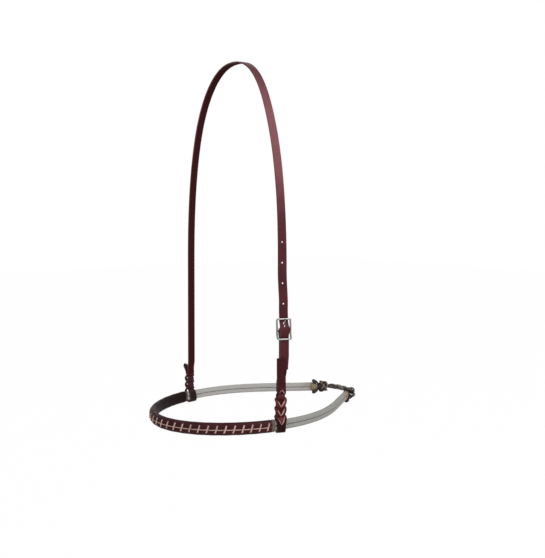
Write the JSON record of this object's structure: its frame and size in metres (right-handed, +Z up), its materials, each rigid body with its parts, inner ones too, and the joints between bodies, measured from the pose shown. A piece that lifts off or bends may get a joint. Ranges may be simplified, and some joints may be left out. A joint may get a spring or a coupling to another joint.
{
  "type": "bridle noseband",
  "caption": "Western rope noseband with a laced leather cover, hung on a buckled leather strap that goes over the poll.",
  "frame": {"origin": "middle of the underside of the crown strap, where it rests on the horse's poll", "axes": "+X towards the horse's nose, +Y to its left side, where the buckle is, +Z up"},
  "size_m": [0.3676, 0.2439, 0.5277],
  "materials": {
    "crown_latigo": "oiled latigo leather, red-brown grain",
    "cheek_latigo": "oiled latigo leather, red-brown grain",
    "buckle_steel": "polished stainless steel",
    "rope_grey": "stiff light grey synthetic rope",
    "cover_leather": "dark burgundy leather, waxed",
    "seam_lace": "pale pink-tan lace",
    "tan_end": "tan stained and hardened rope end",
    "dark_lace": "dark grey-purple latigo lace",
    "binding_cord": "grey-green waxed cord"
  },
  "bodies": {
    "headstall": {"crown_strap": "crown_latigo", "near_cheek_strap": "cheek_latigo", "buckle_frame": "buckle_steel"},
    "tongue": {"buckle_tongue": "buckle_steel"},
    "noseband": {"upper_rope": "rope_grey", "lower_rope": "rope_grey", "nose_cover": "cover_leather", "nose_lacing": "seam_lace", "near_cover_binding": "binding_cord", "far_cover_binding": "binding_cord", "near_rope_end": "tan_end", "far_rope_end": "tan_end", "near_end_collar": "dark_lace", "far_end_collar": "dark_lace", "near_end_knot": "dark_lace", "far_end_knot": "dark_lace", "link_strand_1": "dark_lace", "link_strand_2": "dark_lace", "link_strand_3": "dark_lace"}
  },
  "joints": [
    {"name": "noseband_swing", "type": "hinge", "parent": "headstall", "child": "noseband", "pos_m": [0.0014, 0, -0.5145], "axis": [0, 1, 0], "range_deg": [-5, 5]},
    {"name": "tongue_pivot", "type": "hinge", "parent": "headstall", "child": "tongue", "pos_m": [-0.00496, 0.10918, -0.384], "axis": [-0.9925, 0.1219, 0], "range_deg": [0, 8]}
  ]
}
